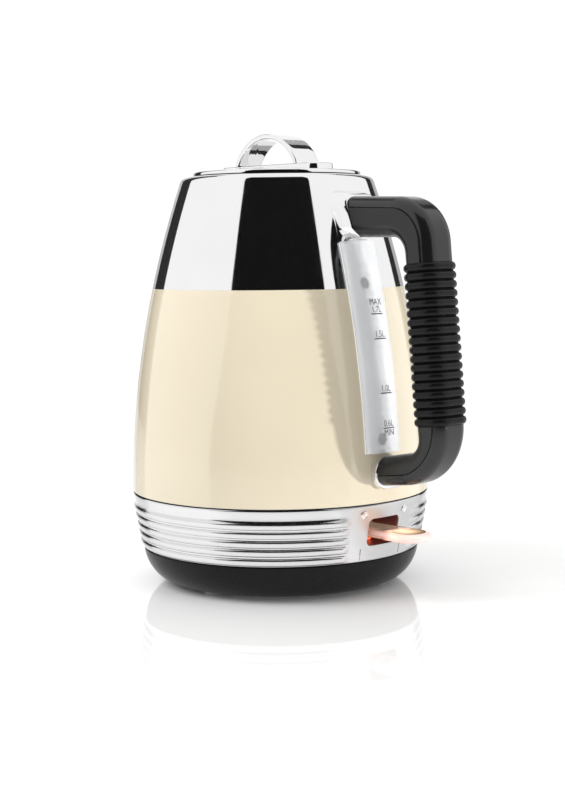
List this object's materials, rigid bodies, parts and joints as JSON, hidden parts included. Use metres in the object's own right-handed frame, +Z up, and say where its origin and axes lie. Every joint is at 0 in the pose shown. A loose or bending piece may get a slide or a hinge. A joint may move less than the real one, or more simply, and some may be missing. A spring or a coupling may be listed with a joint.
{
  "type": "electric kettle",
  "caption": "Cordless electric kettle with a tapered enamelled body, polished collar and ribbed band, sight gauge, D-shaped handle with a ribbed grip, lift-off lid and a round power base.",
  "frame": {"origin": "centre of the power base on the surface it stands on", "axes": "+Z up along the body's axis, +X towards the handle and the switch lever, -X towards the spout"},
  "size_m": [0.2153, 0.167, 0.2497],
  "materials": {
    "base_black": "satin",
    "base_black_matt": "matt",
    "foot_clear": "translucent satin",
    "tower_black": "matt",
    "brass_contact": "satin",
    "screw_steel": "satin",
    "gland_rubber": "matt",
    "brass_pin": "polished",
    "polished_steel": "polished",
    "cream_enamel": "gloss enamel",
    "band_chrome": "polished",
    "cap_chrome": "polished",
    "pocket_red": "satin",
    "lamp_red": "lit",
    "control_black": "matt",
    "cover_black": "matt",
    "plate_steel": "brushed",
    "element_steel": "heat stained",
    "seal_rubber": "matt",
    "tube_silicone": "satin",
    "gauge_clear": "clear",
    "gauge_gasket": "matt",
    "collar_chrome": "polished",
    "ring_chrome": "polished",
    "handle_outer_black": "satin",
    "handle_inner_black": "satin",
    "core_black": "matt",
    "grip_rubber": "satin",
    "rim_black": "satin",
    "spout_steel": "polished",
    "filter_plastic": "satin",
    "mesh_steel": "woven",
    "pin_steel": "satin",
    "lever_clear": "clear tinted",
    "lid_steel": "polished",
    "liner_black": "matt",
    "lid_rubber": "matt",
    "grip_plate_chrome": "polished",
    "strap_chrome": "polished"
  },
  "bodies": {
    "power_base": {"base_shell": "base_black", "base_bottom": "base_black_matt", "base_feet": "foot_clear", "connector_tower": "tower_black", "contact_ring": "brass_contact", "base_screws": "screw_steel", "cord_gland": "gland_rubber"},
    "plug_core": {"plug_pin": "brass_pin"},
    "kettle": {"vessel": "polished_steel", "cream_jacket": "cream_enamel", "chrome_band": "band_chrome", "band_caps": "cap_chrome", "switch_pocket": "pocket_red", "indicator_lamp": "lamp_red", "control_unit": "control_black", "control_contacts": "brass_contact", "bottom_cover": "cover_black", "bottom_screws": "screw_steel", "heater_plate": "plate_steel", "heating_element": "element_steel", "plate_seal": "seal_rubber", "steam_tube": "tube_silicone", "gauge_window": "gauge_clear", "gauge_seal": "gauge_gasket", "upper_collar": "collar_chrome", "lower_ring": "ring_chrome", "handle_outer_shell": "handle_outer_black", "handle_inner_shell": "handle_inner_black", "handle_core": "core_black", "grip_sleeve": "grip_rubber", "handle_screws": "screw_steel", "rim_ring": "rim_black", "spout": "spout_steel", "filter_frame": "filter_plastic", "filter_mesh": "mesh_steel", "switch_pin": "pin_steel"},
    "switch_lever": {"switch_lever": "lever_clear"},
    "lid": {"lid_cover": "lid_steel", "lid_liner": "liner_black", "lid_seal": "lid_rubber", "lid_grip_plate": "grip_plate_chrome", "lid_strap": "strap_chrome", "lid_screws": "screw_steel"}
  },
  "joints": [
    {"name": "kettle_lift", "type": "slide", "parent": "power_base", "child": "plug_core", "axis": [0, 0, 1], "range_m": [0, 0.12]},
    {"name": "kettle_swivel", "type": "hinge", "parent": "plug_core", "child": "kettle", "pos_m": [0, 0, 0.04], "axis": [0, 0, 1], "continuous": true},
    {"name": "lid_lift", "type": "slide", "parent": "kettle", "child": "lid", "axis": [0, 0, 1], "range_m": [0, 0.06]},
    {"name": "switch_tilt", "type": "hinge", "parent": "kettle", "child": "switch_lever", "pos_m": [0.05, 0, 0.036], "axis": [0, -1, 0], "range_deg": [0, 8]}
  ]
}
